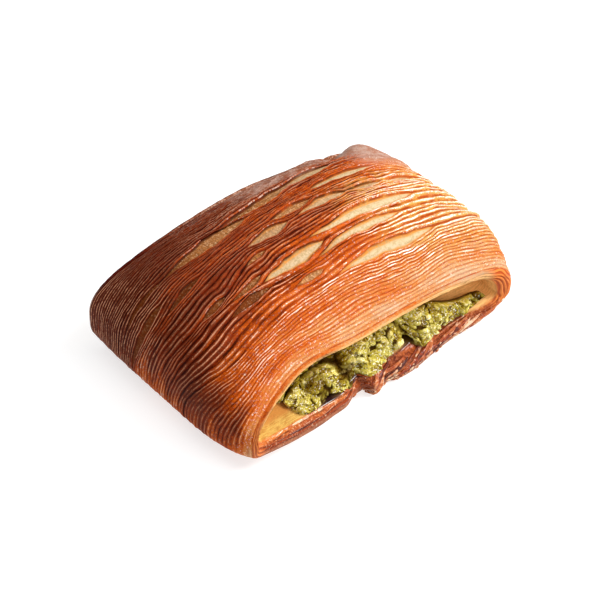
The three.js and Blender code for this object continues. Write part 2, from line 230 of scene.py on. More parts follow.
def on_sheet(y):
    """Where a ridge line really runs: swept back down the left side, and wandering a little."""
    span = np.where(y < SWEEP_Y, SWEEP_FRONT_SPAN, SWEEP_BACK_SPAN)
    share = np.maximum(1 - ((y - SWEEP_Y) / span) ** 2, 0)
    sweep = SWEEP_REACH * share * smooth(*SWEEP_LEFT, along) * smooth(*SWEEP_UNDER, along)
    wander = WANDER * ripple(along / WANDER_ALONG, y / WANDER_ACROSS, seed=3)
    wriggle = WRIGGLE * ripple(along / WRIGGLE_ALONG, y / WRIGGLE_ACROSS, seed=4)
    free = smooth(0, STRAIGHT_EDGE, HALF_DEPTH - np.abs(y)) * smooth(girth / 2, TOP_SPAN, np.abs(along))
    cut_back = scoop * smooth(SCOOP_BAND - HALF_DEPTH, -HALF_DEPTH, y)
    return y + sweep + free * (wander + wriggle) + cut_back


rows = []


def sheet_row(y, relief, ridge=0.0, **looks):
    """Adds one line of the sheet, lifted off the pillow by its relief, with what the material reads."""
    placed = on_sheet(np.broadcast_to(y, along.shape))
    bare = smooth(*BARE_ALONG, along) * smooth(*BARE_Y, placed) * smooth(*BARE_ENDS, along)
    shown = smooth(*RELIEF_SHOWS, rising) * (1 - BARE_CALM * bare)
    shown = shown * (1 - SIDE_CALM * smooth(*SIDE_CALM_ALONG, along))
    relief = relief - RIDGE_SINK - humps(placed, VALLEYS) * smooth(*VALLEY_SPAN, along)
    points = pillow(angle, placed / HALF_DEPTH)
    points = points + outward(angle, placed / HALF_DEPTH) * (shown * relief)[:, None]
    points[:, 2] = np.maximum(points[:, 2], 0)
    rows.append({"points": points, "ridge": mix(ridge, BARE_RIDGE, bare), "bare": bare, "y": placed,
                 "line": np.mean(y), **looks})


# Each ridge: two flanks and a crest, with a groove before the next; a draw is its tone, height and lean
RIDGE_HEIGHT, RIDGE_SINK, RIDGE_BEADS, BEAD_BLUR = 0.95, 0.3, 0.12, (0.4, 0.8, 0.4)
RIDGE_UNEVENNESS, UNEVEN_LENGTH, LOWEST_RIDGE = 0.5, 13.0, 0.1
STRIP_APART, RIDGE_APART = 3.7, 0.8
RIDGE_LEAST, RIDGE_MOST = (-1, 0.45, -0.12), (1, 1.35, 0.12)
FULL_PITCH, LEAST_PITCH = 1.3, 0.35
RIDGE_PROFILE = ((0.16, 0.66), (0.5, 1.0), (0.84, 0.66))
SLIT_WALL, FAR_EDGE = 0.8, 0.25
FLAT_LIP, FLAT_LIP_BAND, SOFT_LIP_LINE = 0.3, 15.0, 0.6
RIGHT_CALM, RIGHT_CALM_ALONG, RIGHT_CALM_Y = 0.5, (12.0, 42.0), (-8.0, 4.0)
SOFT_LEFT_LINE, SOFT_LEFT_ALONG, SOFT_LEFT_Y, SOFT_LEFT_SPREAD = 0.7, (-34.0, -56.0), -21.0, 14.0
ridge_draw = np.random.default_rng(6)
ridges_before = np.cumsum([ridges for ridges, _ in SEAMS])
closed_lines = np.interp(ridges_before, ridges_before[[0, -1]], (FIRST_SEAM_Y, LAST_SEAM_Y))
sheet_row(-HALF_DEPTH, flat)
start_edge, start_open = flat - HALF_DEPTH, flat
for number, (ridges, slits) in enumerate([*SEAMS, (RIDGES_BEHIND_LAST_SEAM, None)]):
    gap = opening(slits) if slits else flat
    half_gap = np.maximum(gap, CLOSED_SEAM) / 2 if slits else flat
    seam_y = course(slits, closed_lines[number]) if slits else flat + HALF_DEPTH
    end_edge, end_open = seam_y - half_gap, gap / (gap + HALF_OPEN)
    pitch = np.clip((end_edge - start_edge) / ridges / FULL_PITCH, LEAST_PITCH, 1)
    for i in range(ridges):
        lifted = np.maximum(start_open if i == 0 else flat, end_open if i == ridges - 1 else flat)
        tone, taller, lean = ridge_draw.uniform(RIDGE_LEAST, RIDGE_MOST)
        beading = np.convolve(ridge_draw.normal(size=len(along)), BEAD_BLUR, "same")
        uneven = ripple(along / UNEVEN_LENGTH, number * STRIP_APART + i * RIDGE_APART, seed=5)
        ridge_y = np.mean(mix(start_edge, end_edge, (i + 0.5) / ridges))
        off_lip = smooth(0, FLAT_LIP_BAND, HALF_DEPTH - abs(ridge_y))
        calm = RIGHT_CALM * smooth(*RIGHT_CALM_ALONG, along) * smooth(*RIGHT_CALM_Y, ridge_y)
        height = RIDGE_HEIGHT * pitch * taller * np.maximum(1 + RIDGE_UNEVENNESS * uneven, LOWEST_RIDGE)
        height = height * (1 - calm) * mix(FLAT_LIP, 1, off_lip)
        crest = height / 2 + SLIT_EDGE_LIFT * lifted + RIDGE_BEADS * beading
        for part_way, rise in RIDGE_PROFILE:
            after_slit, before_slit = i == 0 and part_way < 0.5, i == ridges - 1 and part_way > 0.5
            near_slit = end_open if before_slit else start_open if after_slit else flat
            line = i + part_way + (lean if rise == 1 else 0)
            sheet_row(mix(start_edge, end_edge, line / ridges),
                      mix(-height / 2, crest, np.maximum(rise, near_slit * SLIT_WALL)), ridge=rise,
                      edge=lifted * (1.0 if after_slit or before_slit else FAR_EDGE), tone=tone)
        if i < ridges - 1:
            soft_left = SOFT_LEFT_LINE * smooth(*SOFT_LEFT_ALONG, along)
            soft_left = soft_left * bell(ridge_y, SOFT_LEFT_Y, SOFT_LEFT_SPREAD)
            sheet_row(mix(start_edge, end_edge, (i + 1) / ridges), -height / 2,
                      ridge=np.maximum(SOFT_LIP_LINE * (1 - off_lip), soft_left))
    if slits:
        for part_way, floor_share in FLOOR_PROFILE:
            swell = SLIT_SWELL * math.sin(math.pi * part_way)
            sheet_row(seam_y + half_gap * (2 * part_way - 1),
                      -RIDGE_HEIGHT / 2 - (SLIT_DEPTH - swell) * end_open, ridge=FLOOR_RIDGE * end_open,
                      slit=floor_share * smooth(*FLOOR_SHOWS, end_open), brown=browning_and_shade_along(slits))
        start_edge, start_open = seam_y + half_gap, end_open
sheet_row(HALF_DEPTH, flat)

# Mouths at both ends: the lip shows the edges of the layers, then the lining runs in to the pesto's channel
LIP_UPPER, LIP_LEFT, LIP_RIGHT, LIP_FLOOR, LIP_ROUND = 1.6, 2.4, 6.5, 9.0, 1.4
RIGHT_SINK, RIGHT_SINK_ALONG, RIGHT_SINK_RISING = 2.4, (26.0, 46.0), (0.8, -0.6)
MOUTH_TIP_LEFT, MOUTH_TIP_RIGHT = 16.0, 13.0
MOUTH_SQUARENESS, MOUTH_LENGTH = 3.0, 14.0
CHANNEL_HALF_WIDTH, CHANNEL_MIDDLE, CHANNEL_FLOOR = 50.0, 4.0, 9.2
CHANNEL_TIP, CHANNEL_TOP, CHANNEL_LEAN = 12.6, 23.5, 0.32
LIP_LAYERS, ROWS_A_LAYER, LAYER_RELIEF, LIP_SPAN = 5, 4, 0.35, 4.0
LAYER_WAVE, TORN_WAVE, LAYER_WAVE_LENGTH, WAVES_UP = 0.05, 0.11, 15.0, 2
ROLL_RISE, ROLL_SWELL, ROLL_AT, ROLL_SPREAD, ROLL_POWER = 0.8, 1.0, -44.0, 17.0, 0.3
STRANDS_BEGIN, STRAND_SLANT, SLANT_ENDS = (-12.0, 4.0), 0.011, (56.0, 38.0)
LIP_SLOPE, SLOPE_ENDS, SLOPE_POWER = 4.6, (54.0, 32.0), 0.5
LINING_ROWS, LINING_RELIEF, LINING_WAVE_LENGTH = 12, 0.25, 3.0
LINING_FOLDS, FOLDS_RISE, FOLD_POWER = ((6.5, 41.0, 13.0), (5.0, -46.0, 8.0)), (0.35, 0.95), 0.4


def lip_line(end):
    return pillow(angle, flat + end + (scoop / HALF_DEPTH if end < 0 else 0))


def lip_slope(facing_x):
    """How far the lower lip leans back into the mouth."""
    return LIP_SLOPE * smooth(*STRANDS_BEGIN, facing_x) * smooth(*SLOPE_ENDS, facing_x)


def mouth_height(turn, tip, top, floor):
    up = (top - tip) * np.maximum(np.sin(turn), 0) ** (2 / TOP_SQUARENESS)
    return tip + up - (tip - floor) * np.maximum(-np.sin(turn), 0) ** (2 / MOUTH_SQUARENESS)


def mouth_edge(end):
    outer = lip_line(end)
    raised = outer[:, 2] - pillow(angle, flat + end)[:, 2]
    to_right = (np.cos(angle) + 1) / 2
    left_end, right_end, top = pillow(np.array([math.pi, 0, math.pi / 2]), np.full(3, end))
    tip = mix(MOUTH_TIP_LEFT, MOUTH_TIP_RIGHT, to_right)
    crown = top[2] * (1 - CROWN_TILT * np.cos(angle)) - LIP_UPPER
    x = mix(left_end[0] + LIP_LEFT, right_end[0] - LIP_RIGHT, to_right)
    roll = ROLL_RISE * underside**ROLL_POWER * bell(-end * x, ROLL_AT, ROLL_SPREAD)
    slope = lip_slope(-end * x) * underside**SLOPE_POWER
    sunk = RIGHT_SINK * smooth(*RIGHT_SINK_ALONG, -end * x) * smooth(*RIGHT_SINK_RISING, rising)
    z = mouth_height(angle, tip, crown, LIP_FLOOR) + roll + raised - sunk
    return np.stack([x, outer[:, 1] - end * slope, z], axis=-1)


def channel_edge(turn, inset=0.0):
    across = np.cos(turn)
    top = CHANNEL_TOP * (1 - CHANNEL_LEAN * across) - inset
    x = CHANNEL_MIDDLE + (CHANNEL_HALF_WIDTH - 2 * inset) * across
    z = mouth_height(turn, CHANNEL_TIP, top, CHANNEL_FLOOR + inset)
    return np.stack([x, np.zeros_like(x), z], axis=-1)


def mouth_rows(end):
    made = []
    outer, inner = lip_line(end), mouth_edge(end)
    inner_x = -end * inner[:, 0]
    torn = smooth(*STRANDS_BEGIN, inner_x) * underside**SLOPE_POWER
    slant = STRAND_SLANT * torn * inner_x * smooth(*SLANT_ENDS, inner_x)
    lip_rows = LIP_LAYERS * ROWS_A_LAYER
    for i in range(1, lip_rows + 1):
        share = i / lip_rows
        wave = mix(LAYER_WAVE, TORN_WAVE, torn) * ripple(along / LAYER_WAVE_LENGTH, share * WAVES_UP, seed=8)
        layer = np.cos(2 * math.pi * LIP_LAYERS * (share + slant + wave))
        rim = math.sin(math.pi * share)
        points = mix(outer, inner, share)
        rolled = ROLL_SWELL * bell(-end * points[:, 0], ROLL_AT, ROLL_SPREAD) * underside
        points[:, 1] += end * ((LIP_ROUND + rolled) * rim + LAYER_RELIEF * layer * math.sqrt(rim))
        made.append({"points": points, "ridge": 0.5 + layer / 2, "rim": share, "y": points[:, 1],
                     "line": end * (HALF_DEPTH + LIP_SPAN * share)})
    for i in range(1, LINING_ROWS + 1):
        share = i / LINING_ROWS
        points = mix(inner, channel_edge(angle), float(smooth(0, 1, share)))
        points[:, 1] = mix(inner[:, 1], end * (HALF_DEPTH - MOUTH_LENGTH), share)
        wave = ripple(along / LINING_WAVE_LENGTH, share * WAVES_UP, seed=9) * math.sin(math.pi * share)
        folds = humps(-end * points[:, 0], LINING_FOLDS) * smooth(*FOLDS_RISE, share)
        points[:, 2] += LINING_RELIEF * wave * np.where(rising > 0, 1, -1) + folds * underside**FOLD_POWER
        made.append({"points": points, "inside": 1.0, "rim": 1.0, "deep": share, "y": points[:, 1],
                     "line": end * (HALF_DEPTH + LIP_SPAN + MOUTH_LENGTH * share)})
    return made


rows += [*mouth_rows(1.0), *reversed(mouth_rows(-1.0))]


def over_grid(key):
    return np.stack([np.broadcast_to(row.get(key, 0.0), along.shape) for row in rows])


points = np.stack([row["points"] for row in rows])
place_y, place_line = over_grid("y"), over_grid("line")
place_along = np.broadcast_to(along, place_y.shape)
looks = {key: over_grid(key) for key in ("slit", "edge", "ridge", "bare", "rim", "inside", "brown", "deep")}


def opens(start, full):
    """A window that is shut before start and open from full on."""
    return lambda value: smooth(start, full, value)


def hump(middle, spread):
    """A window that is open at its middle and shuts to both sides."""
    return lambda value: bell(value, middle, spread)


def patchwork(patches):
    """Sum of patches: each an amount, in windows along the sheet and in windows from front to back."""
    total = 0
    for amount, windows_along, windows_y in patches:
        for window in windows_along:
            amount = amount * window(place_along)
        for window in windows_y:
            amount = amount * window(place_y)
        total = total + amount
    return total


# How dark the crust has baked: 0 is pale gold, 1 deep mahogany. The left and the back are darkest.
BAKE_PATCHES = [
    (0.50, [], []),
    (0.22, [opens(-28, -64)], []),
    (-0.22, [opens(12, 55)], []),
    # Lighter low on the left: painted light in the shade there
    (-0.30, [opens(-74, -94)], []),
    (-0.14, [], [opens(-13, -25)]),
    (-0.17, [], [opens(-33, -38)]),
    (0.03, [], [hump(-26, 9)]),
    (0.40, [], [opens(10, 24)]),
    (0.24, [hump(-22, 38)], [hump(0, 18)]),
    (0.09, [opens(-8, -30)], [hump(-4, 16)]),
    (0.24, [opens(-56, -76)], [opens(-4, -16), opens(-39, -33)]),
    (0.05, [hump(-32, 16)], [hump(-24, 9)]),
    (-0.06, [opens(40, 70)], [opens(-33, -22)]),
    (0.16, [opens(30, 54)], [opens(-22, -31)]),
    (0.07, [opens(0, -40)], [opens(9, 17)]),
    (0.06, [opens(-20, 0), opens(50, 30)], [hump(-2, 14)]),
    (0.17, [hump(34, 17)], [hump(6, 8)]),
]
BAKE_DRIFT, DRIFT_ALONG, DRIFT_ACROSS, RIDGE_TONE = 0.05, 24.0, 6.0, 0.07
drift = BAKE_DRIFT * ripple(place_along / DRIFT_ALONG, place_y / DRIFT_ACROSS, seed=11)
looks["bake"] = patchwork(BAKE_PATCHES) + drift + RIDGE_TONE * over_grid("tone")

# Where painted glints of egg wash catching the light go along the crests, most on the front slope and to the
# right
looks["shine"] = np.clip(patchwork([
    (0.12, [], []),
    (0.3, [hump(-5, 35)], [hump(-2, 14)]),
    (1.0, [opens(-78, -45), opens(66, 46)], [hump(-21, 11)]),
    (1.0, [opens(5, 35)], [hump(-4, 24)]),
    (0.7, [hump(4, 32)], [hump(20, 7)]),
    (0.25, [opens(-45, -65)], []),
    (0.75, [opens(-45, -65)], [opens(-2, 14)]),
]), 0, 1)
looks["bright"] = patchwork([(1.0, [opens(6, 32)], [opens(-38, -20), opens(10, -1)])])
looks["edge"] = looks["edge"] * (1 - patchwork([(0.85, [opens(-36, -46)], [opens(2, 7)])]))

# Greyish-pink on the crests along the back and on the right lip: painted sheen, which reads as dust
looks["dusty"] = patchwork([
    (1.0, [opens(-45, -5)], [opens(15, 24)]),
    (0.8, [opens(-15, 8)], [opens(21, 27)]),
    (0.3, [opens(30, 52)], [opens(-25, -32)]),
])

# Oil from the pesto darkens the lining where the lumps lie on the lower lip
OIL_STAINS = ((1.0, -22, 8), (1.0, 20, 10), (0.9, -8, 7))
OIL_RISING, OIL_RIM, UPPER_RISING = (0.1, -0.2), (0.93, 1.0), (0.1, 0.5)
facing = np.where(place_y < 0, 1, -1) * points[..., 0]
stains = np.clip(humps(facing, OIL_STAINS), 0, 1)
looks["oil"] = stains * smooth(*OIL_RISING, rising) * smooth(*OIL_RIM, looks["rim"])
looks["upper"] = np.broadcast_to(smooth(*UPPER_RISING, rising), place_y.shape)
looks["facing"] = facing


def grid_faces(row_count, column_count, close_rows=True):
    """Quads of a grid that closes on itself round its columns and, as a ring, along its rows."""
    last = row_count if close_rows else row_count - 1
    r, c = np.meshgrid(np.arange(last), np.arange(column_count), indexing="ij")
    r_next, c_next = (r + 1) % row_count, (c + 1) % column_count
    corners = [(r, c), (r, c_next), (r_next, c_next), (r_next, c)]
    return np.stack([a * column_count + b for a, b in corners], axis=-1).reshape(-1, 4)


def make_piece(name, vertices, faces, rounded):
    mesh = bpy.data.meshes.new(name)
    mesh.from_pydata((vertices * MM).tolist(), [], faces)
    mesh.polygons.foreach_set("use_smooth", np.full(len(mesh.polygons), rounded))
    piece = bpy.data.objects.new(name, mesh)
    bpy.context.scene.collection.objects.link(piece)
    return piece


def give(piece, name, values):
    """Stores a value for every vertex, for the material to read."""
    kind, key = ("FLOAT_VECTOR", "vector") if values.ndim == 2 else ("FLOAT", "value")
    piece.data.attributes.new(name, kind, "POINT").data.foreach_set(key, values.astype(np.float32).ravel())


row_count, column_count = place_y.shape
dough_faces = grid_faces(row_count, column_count).tolist()
dough = make_piece("dough_wrap", points.reshape(-1, 3) + PILLOW_SHIFT, dough_faces, rounded=True)
for name, values in looks.items():
    give(dough, name, values.ravel())
give(dough, "place", np.stack([place_along, place_line, 0 * place_y], axis=-1).reshape(-1, 3))

# Laid flat for baking: columns across, rows up
up_grid, across_grid = np.meshgrid(np.arange(row_count), np.arange(column_count), indexing="ij")
flat_map = np.stack([np.stack([(across_grid + right) / column_count, (up_grid + above) / row_count], axis=-1)
                     for above, right in ((0, 0), (0, 1), (1, 1), (1, 0))], axis=2)
dough.data.uv_layers.new(name="OFBake").data.foreach_set("uv", flat_map.astype(np.float32).ravel())


class Mixture:
    """A value on its way through a material. Sums on it add Math nodes; node() adds any other node."""

    def __init__(self, tree, socket=None):
        self.tree, self.socket = tree, socket

    def node(self, kind, settings=None, sockets=None, output=0):
        made = self.tree.nodes.new("ShaderNode" + kind)
        for name, value in (settings or {}).items():
            if name == "stops":
                for _ in value[2:]:
                    made.color_ramp.elements.new(0.5)
                for stop, (position, colour) in zip(made.color_ramp.elements, value):
                    stop.position, stop.color = position, (*colour, 1)
            else:
                setattr(made, name, value)
        for name, value in (sockets or {}).items():
            if isinstance(value, Mixture):
                self.tree.links.new(value.socket, made.inputs[name])
            else:
                made.inputs[name].default_value = value
        return Mixture(self.tree, made.outputs[output] if made.outputs else None)

    def maths(self, operation, first, second):
        return self.node("Math", {"operation": operation}, {0: first, 1: second})

    def __add__(self, other):
        return self.maths("ADD", self, other)

    def __sub__(self, other):
        return self.maths("SUBTRACT", self, other)

    def __rsub__(self, other):
        return self.maths("SUBTRACT", other, self)

    def __mul__(self, other):
        return self.maths("MULTIPLY", self, other)

    __radd__, __rmul__ = __add__, __mul__

    def range(self, low, high, to_low=0.0, to_high=1.0):
        limits = {"From Min": low, "From Max": high, "To Min": to_low, "To Max": to_high}
        return self.node("MapRange", {"interpolation_type": "SMOOTHSTEP"}, {"Value": self, **limits})

    def colour(self, zero, one):
        """Goes from one colour to another as the value goes from 0 to 1."""
        ends = {6: zero, 7: one}
        ends = {key: end if isinstance(end, Mixture) else (*end, 1) for key, end in ends.items()}
        return self.node("Mix", {"data_type": "RGBA"}, {0: self, **ends}, output=2)

    def ramp(self, *stops):
        return self.node("ValToRGB", {"stops": stops}, {"Fac": self})

    def read(self, name, output=2):
        return self.node("Attribute", {"attribute_name": name}, output=output)

    def noise(self, place, scale, detail=2.0, roughness=0.5):
        """Noise over a place whose three steps are each scaled first."""
        scaled = self.node("VectorMath", {"operation": "MULTIPLY"}, {0: place, 1: scale})
        return self.node("TexNoise", {}, {"Vector": scaled, "Scale": 1.0, "Detail": detail,
                                          "Roughness": roughness})


def new_material(name):
    material = bpy.data.materials.new(name)
    material.use_nodes = True
    material.node_tree.nodes.clear()
    return material, Mixture(material.node_tree)


def finish_material(mixture, sockets):
    shader = mixture.node("BsdfPrincipled", {}, sockets)
    mixture.node("OutputMaterial", {}, {"Surface": shader})


PALE_GOLD, GOLD, AMBER = (0.53, 0.345, 0.20), (0.54, 0.205, 0.053), (0.50, 0.083, 0.003)
RUSSET, MAHOGANY = (0.21, 0.018, 0.0004), (0.078, 0.004, 0.0001)
GROOVE_SHADE_RED, GROOVE_SHADE_BROWN, DARK_CREST_SHEEN = (0.33, 0.041, 0.004), (0.026, 0.002, 0.0001), (0.24, 0.070, 0.024)
LIFTED_EDGE, CREST_HIGHLIGHT_ORANGE, HONEY = (0.60, 0.10, 0.012), (0.80, 0.30, 0.085), (0.62, 0.32, 0.065)
GLINT, DULL_GLINT = (0.98, 0.87, 0.74), (0.68, 0.31, 0.17)
SHEEN_ROSE, SHEEN_PALE = (0.24, 0.073, 0.030), (0.70, 0.40, 0.28)
BARE_ROSE, BARE_PALE = (0.34, 0.148, 0.087), (0.46, 0.30, 0.235)
CREAM, CREAM_EDGE = (0.57, 0.46, 0.285), (0.62, 0.24, 0.045)
TAN, DARK_TAN, TAN_SPARKLE = (0.46, 0.18, 0.050), (0.16, 0.031, 0.004), (0.66, 0.38, 0.20)
PORE, TAN_PORE = (0.40, 0.29, 0.13), (0.07, 0.015, 0.003)
LINING_YELLOW, LINING_TAN_LIT = (0.66, 0.43, 0.11), (1.0, 0.57, 0.21)
LINING_LINE, LINING_SHADE_BROWN = (0.46, 0.20, 0.040), (0.46, 0.16, 0.035)
LIP_DUSTY, LIP_RUST = (0.34, 0.118, 0.054), (0.33, 0.066, 0.016)
LIP_DEEP, LIP_ORANGE = (0.22, 0.030, 0.006), (0.60, 0.16, 0.025)
LIP_GOLD, LIP_CREAM = (0.80, 0.47, 0.18), (0.80, 0.58, 0.38)
TORN_BROWN, TORN_RUST, TORN_PALE = (0.085, 0.009, 0.001), (0.35, 0.070, 0.014), (0.64, 0.40, 0.28)
END_ORANGE, END_RED = (0.70, 0.20, 0.040), (0.40, 0.070, 0.014)
OILY_DARK = (0.024, 0.008, 0.008)
# Noise steps along the ridges and across them, for each millimetre
STREAKS, PATCHES, BREAKS = (0.06, 1.2, 1.0), (0.22, 0.3, 1.0), (0.18, 0.9, 1.0)
BEADS, CLUSTERS, DASHES = (1.1, 0.6, 1.0), (0.045, 0.16, 1.0), (0.30, 1.3, 1.0)
LICKS, HATCH, LINES = (0.055, 0.5, 1.0), (1.6, 0.5, 1.0), (0.22, 2.4, 1.0)
# Noise steps for each metre, the same all ways
GRAIN, SPARKLE, BLOTCHES, PORES = (1150,) * 3, (1700,) * 3, (260,) * 3, (900,) * 3

crust, paint = new_material("egg_washed_crust")
place, spot = paint.read("place", output=1), paint.node("TexCoord", {}, output=3)
ridge_top, bake_level, slit_edge, shiny = map(paint.read, ("ridge", "bake", "edge", "shine"))
bright_side, dusty, bare_part, in_slit = map(paint.read, ("bright", "dusty", "bare", "slit"))
floor_browning_and_shade, rim_place, in_mouth, upper_half = map(paint.read, ("brown", "rim", "inside", "upper"))
oiled, deep_in, facing_x = map(paint.read, ("oil", "deep", "facing"))

# Browning of the sheet, painted shade of dark red to brown in its grooves, and honeyed on its bright side
streaks = paint.noise(place, STREAKS, 4.0, 0.65)
grain = paint.noise(spot, GRAIN, 3.0, 0.8)
patches = paint.noise(place, PATCHES, 3.0)
baked = bake_level + 0.45 * (streaks - 0.5) + 0.25 * (patches - 0.5) + 0.95 * (grain - 0.5)
browning = baked.ramp((0.0, PALE_GOLD), (0.25, GOLD), (0.5, AMBER), (0.75, RUSSET), (1.0, MAHOGANY))
breaks = paint.noise(place, BREAKS, 4.0, 0.65).range(0.37, 0.54, 0.2, 1.0)
# Painted shade: the grooves between the ridges are darkened towards red or brown
groove_shade = (1 - ridge_top).range(0.14, 0.62) * breaks
groove_shade_colour = bake_level.range(0.42, 0.70).colour(GROOVE_SHADE_RED, GROOVE_SHADE_BROWN)
honeyed = (bright_side * patches.range(0.34, 0.60) * 0.85).colour(browning, HONEY)
sheet_colour = (groove_shade * 0.9).colour(honeyed, groove_shade_colour)
on_flank = ridge_top.range(0.5, 0.66)
sheet_colour = (slit_edge * on_flank * 0.8).colour(sheet_colour, LIFTED_EDGE)
dark_side = bake_level.range(0.62, 0.78)
# Painted sheen: crests on the darkly baked side turn lighter brown, where light grazes them
sheet_colour = (ridge_top.range(0.5, 0.97) * dark_side * 0.34).colour(sheet_colour, DARK_CREST_SHEEN)

# Egg-wash glints painted as highlights, in broken dashes along the crests and in a few broad licks, with
# painted sparkles
beads = paint.noise(place, BEADS, 2.0, 0.6).range(0.46, 0.58)
clusters = paint.noise(place, CLUSTERS, 2.0, 0.6)
dashes = paint.noise(place, DASHES, 4.0, 0.7) + 0.08 * dark_side + 0.10 * bright_side
dashes = (dashes + 0.7 * (clusters - 0.5)).range(0.48, 0.60)
sparkle = paint.noise(spot, SPARKLE, 2.0, 0.7).range(0.38, 0.56)
# Painted highlight: crests turn lighter orange in dashes, where the light catches them
crest_highlight = ridge_top.range(0.72, 1.0) * dashes * (1 - dark_side)
sheet_colour = (crest_highlight * 0.55).colour(sheet_colour, CREST_HIGHLIGHT_ORANGE)
thin_glint = (ridge_top + 0.05 * (bright_side + dark_side)).range(0.88, 0.99) * dashes
licks = paint.noise(place, LICKS, 3.0, 0.6) + 0.04 * bright_side
licks = licks.range(0.56, 0.63) * (1 - dark_side)
thick_glint = ridge_top.range(0.70, 0.90) * licks * bake_level.range(0.62, 0.45)
glint = (thin_glint + thick_glint).range(0, 1) * (sparkle + 0.4 * dark_side + 0.4 * licks).range(0, 1)
glint = glint * shiny
glint_colour = bake_level.range(0.50, 0.72).colour(GLINT, DULL_GLINT)
# Painted sparkles: specks of grain on the crests lightened towards the glint colour
painted_sparkles = grain.range(0.56, 0.68) * ridge_top.range(0.3, 0.8) * bake_level.range(0.75, 0.35, 0.2, 0.65)
sheet_colour = painted_sparkles.colour(sheet_colour, glint_colour)
sheet_colour = (glint * 0.9).colour(sheet_colour, glint_colour)
# Painted highlight, beaded along the lifted slit edges
beaded_highlight = slit_edge.range(0.35, 0.7) * on_flank * beads * dashes * shiny
sheet_colour = (beaded_highlight * 0.9).colour(sheet_colour, GLINT)

# Painted sheen on the crests that reads as dust, heaviest along the back edge; then the powdery bare fold
sheen_on_crests = dusty * ridge_top.range(0.4, 0.9) * dashes * (0.3 + 0.7 * beads)
sheet_colour = (sheen_on_crests * 0.6).colour(sheet_colour, grain.range(0.48, 0.64).colour(SHEEN_ROSE, SHEEN_PALE))
blotches = (paint.noise(spot, BLOTCHES, 4.0, 0.7) + 0.5 * (grain - 0.5)).range(0.35, 0.65)
powdery_sheen = dusty.range(1.0, 1.8) * 0.7
sheet_colour = powdery_sheen.colour(sheet_colour, blotches.colour(SHEEN_ROSE, BARE_PALE))
# Painted sparkles on the bare fold's grain
bare_crust = (grain.range(0.62, 0.70) * 0.8).colour(blotches.colour(BARE_ROSE, BARE_PALE), GLINT)
sheet_colour = (bare_part * 0.9).colour(sheet_colour, bare_crust)

# Floors of the slits: porous cream, or tan to brown on the left and at the back, partly from longer baking
# and partly painted shade
pores = paint.noise(spot, PORES, 3.0, 0.8).range(0.40, 0.54)
hatch = paint.noise(place, HATCH, 3.0, 0.7).range(0.38, 0.60)
cream_floor = in_slit.range(0.55, 1.0).colour(CREAM_EDGE, CREAM)
cream_floor = ((1 - pores) * 0.7).colour(cream_floor, PORE)
tan_floor = floor_browning_and_shade.range(0.45, 0.95).colour(TAN, DARK_TAN)
tan_floor = ((1 - hatch * pores) * 0.6).colour(tan_floor, TAN_PORE)
# Painted sparkles: light specks on the tan floors
floor_sparkles = grain.range(0.53, 0.62) * floor_browning_and_shade.range(1.0, 0.5, 0.15, 0.8)
tan_floor = floor_sparkles.colour(tan_floor, TAN_SPARKLE)
floor_colour = floor_browning_and_shade.range(0.05, 0.6).colour(cream_floor, tan_floor)

# Lips: layers from dusty outside to orange inside, torn on the lower right, golden above, redder at the ends
lip_depth = rim_place + 0.6 * (grain - 0.5) + 0.4 * (patches - 0.5)
lip_colour = lip_depth.ramp((0.05, LIP_DUSTY), (0.42, LIP_DUSTY), (0.58, LIP_DEEP), (0.80, LIP_RUST),
                            (0.98, LIP_ORANGE))
# Painted shade in the grooves between the lip's layers
lip_colour = ((1 - ridge_top).range(0.5, 1.0) * breaks * 0.7).colour(lip_colour, GROOVE_SHADE_BROWN)
lip_colour = (grain.range(0.55, 0.66) * 0.45).colour(lip_colour, LIP_CREAM)
# Painted glints: pale lines along the crests of the lip's layers
layer_glints = ridge_top.range(0.93, 0.99) * dashes
lip_colour = (layer_glints * 0.7).colour(lip_colour, LIP_CREAM)
torn_colour = (grain + 0.5 * (patches - 0.5)).range(0.35, 0.65).colour(TORN_BROWN, TORN_RUST)
torn_colour = (rim_place.range(0.34, 0.08) * grain.range(0.44, 0.56)).colour(torn_colour, TORN_PALE)
torn_part = facing_x.range(-14, -4) * facing_x.range(50, 38, 0.3, 0.85)
lip_colour = torn_part.colour(lip_colour, torn_colour)
upper_lip = (rim_place.range(0.1, 0.6) * bake_level.range(0.62, 0.42)).colour(browning, LIP_GOLD)
# Painted sheen greys the upper lip where it reads as dust
upper_lip = (dusty * 0.8).colour(upper_lip, grain.range(0.45, 0.66).colour(SHEEN_ROSE, SHEEN_PALE))
lip_colour = upper_half.colour(lip_colour, upper_lip)
at_ends = (facing_x.range(49, 55) + facing_x.range(-52, -57)) * bake_level.range(0.8, 0.6)
lip_colour = at_ends.colour(lip_colour, ridge_top.range(0.15, 0.8).colour(END_RED, END_ORANGE))

# Lining of the mouths: its own tan on the right, brightened with painted light under the lip; painted shade
# deep in the left pocket
lines = paint.noise(place, LINES, 3.0).range(0.44, 0.60)
lining_colour = facing_x.range(-38, -24).colour(LINING_YELLOW, LINING_TAN_LIT)
pocket_shade = facing_x.range(-30, -36) * deep_in.range(0.30, 0.55)
lining_colour = (pocket_shade * 0.85).colour(lining_colour, LINING_SHADE_BROWN)
lining_colour = (lines * facing_x.range(-38, -30, 0.75, 0.35)).colour(lining_colour, LINING_LINE)

